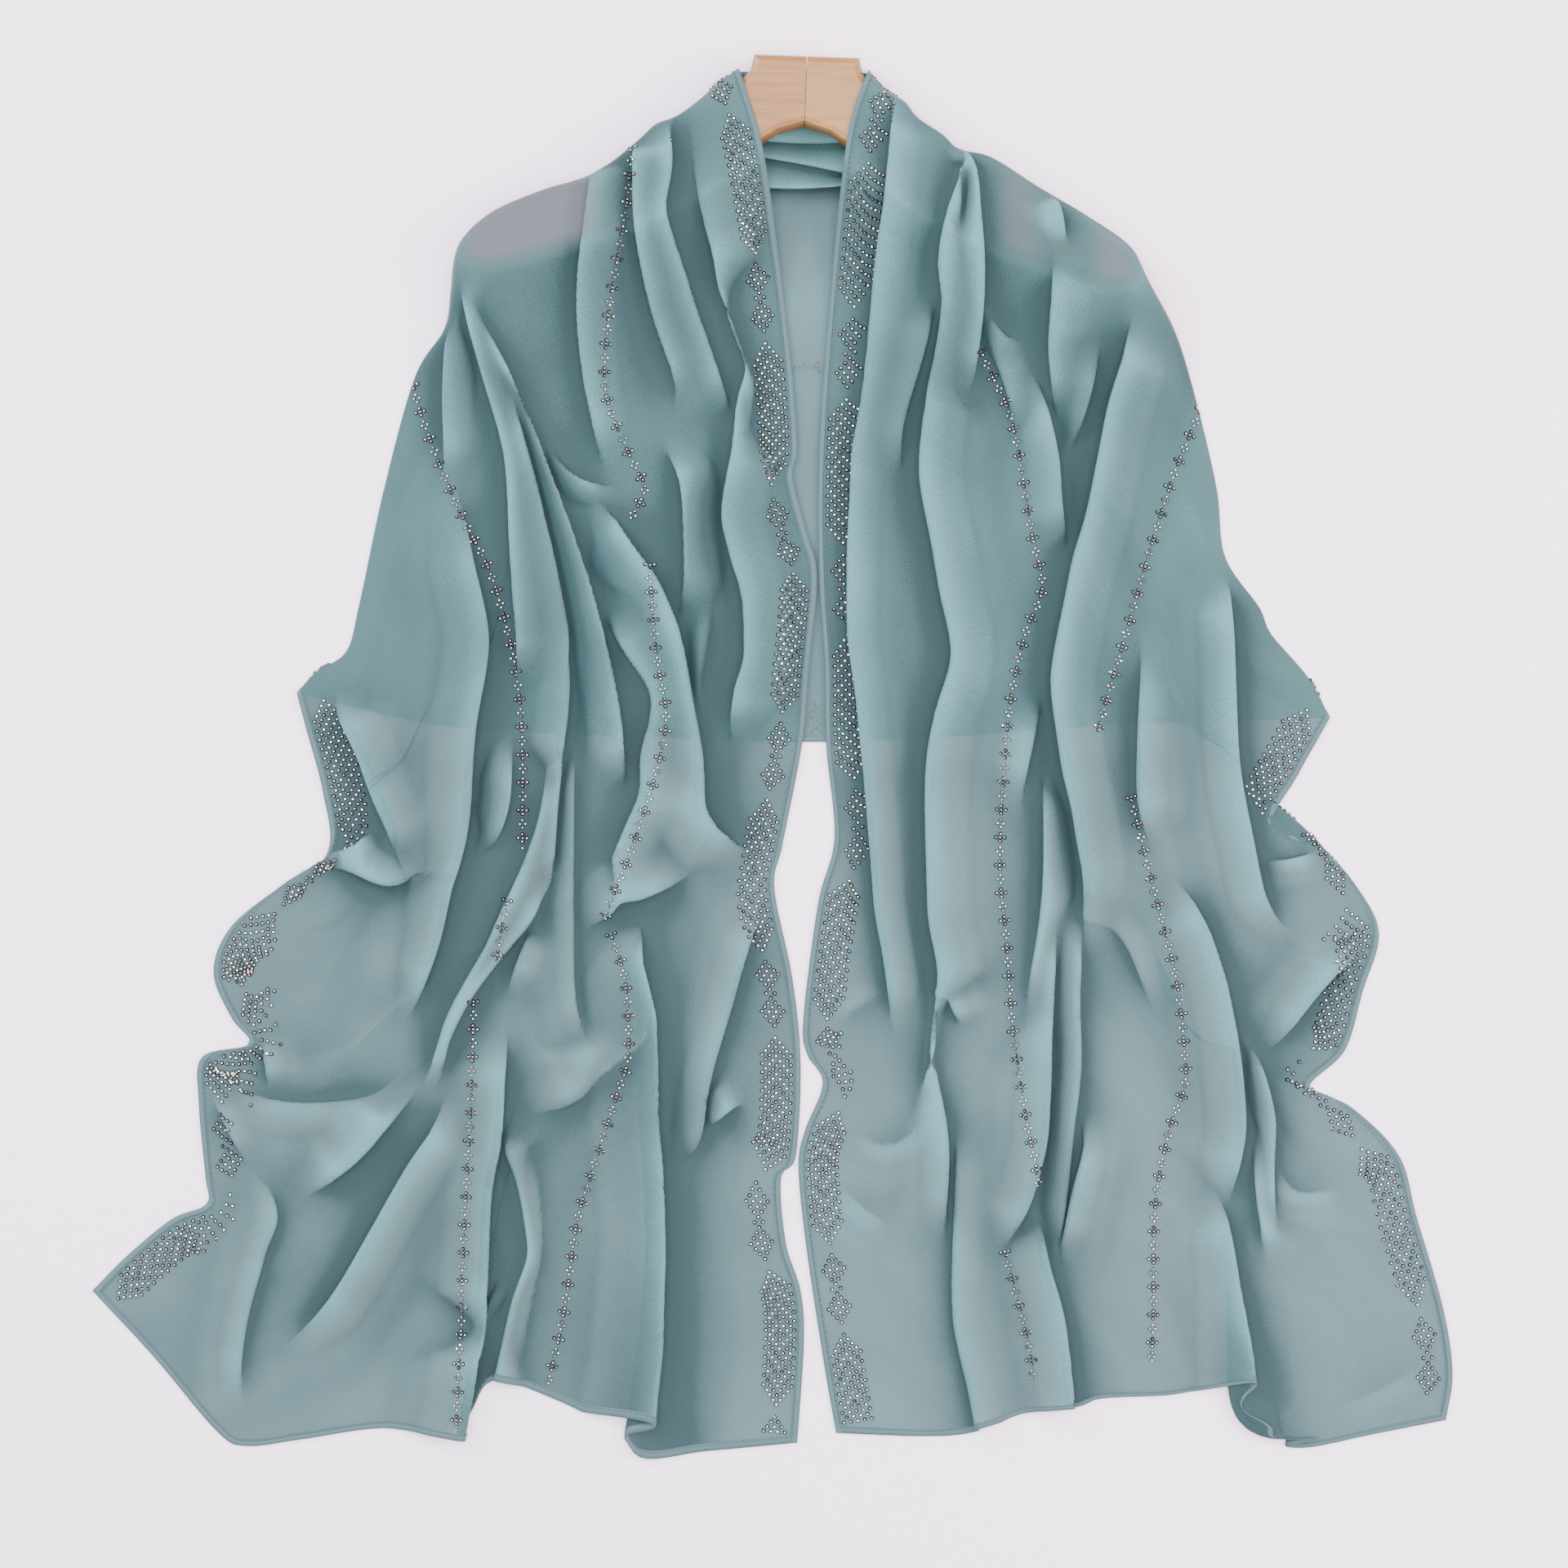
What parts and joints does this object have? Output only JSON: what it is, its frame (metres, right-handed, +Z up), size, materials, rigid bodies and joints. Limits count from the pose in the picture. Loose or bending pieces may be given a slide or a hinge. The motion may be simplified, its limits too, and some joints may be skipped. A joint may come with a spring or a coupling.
{
  "type": "chiffon scarf laid over a wooden hanger",
  "caption": "Sheer teal crepe chiffon scarf with rhinestone borders and rhinestone chains, laid flat over a contoured beech hanger, both ends turned to the front like lapels.",
  "frame": {"origin": "centre of the bounding box, on the surface that the scarf lies on", "axes": "+Z up from the surface, +Y from the hems to the neck of the hanger, +X to the right in the picture"},
  "size_m": [0.8316, 0.855, 0.0441],
  "materials": {
    "chiffon": "sheer teal crepe chiffon",
    "beech": "satin lacquered beech"
  },
  "bodies": {
    "root": {"scarf_back": "chiffon", "scarf_front_left": "chiffon", "scarf_front_right": "chiffon", "hanger_left": "beech", "hanger_right": "beech"}
  },
  "joints": []
}
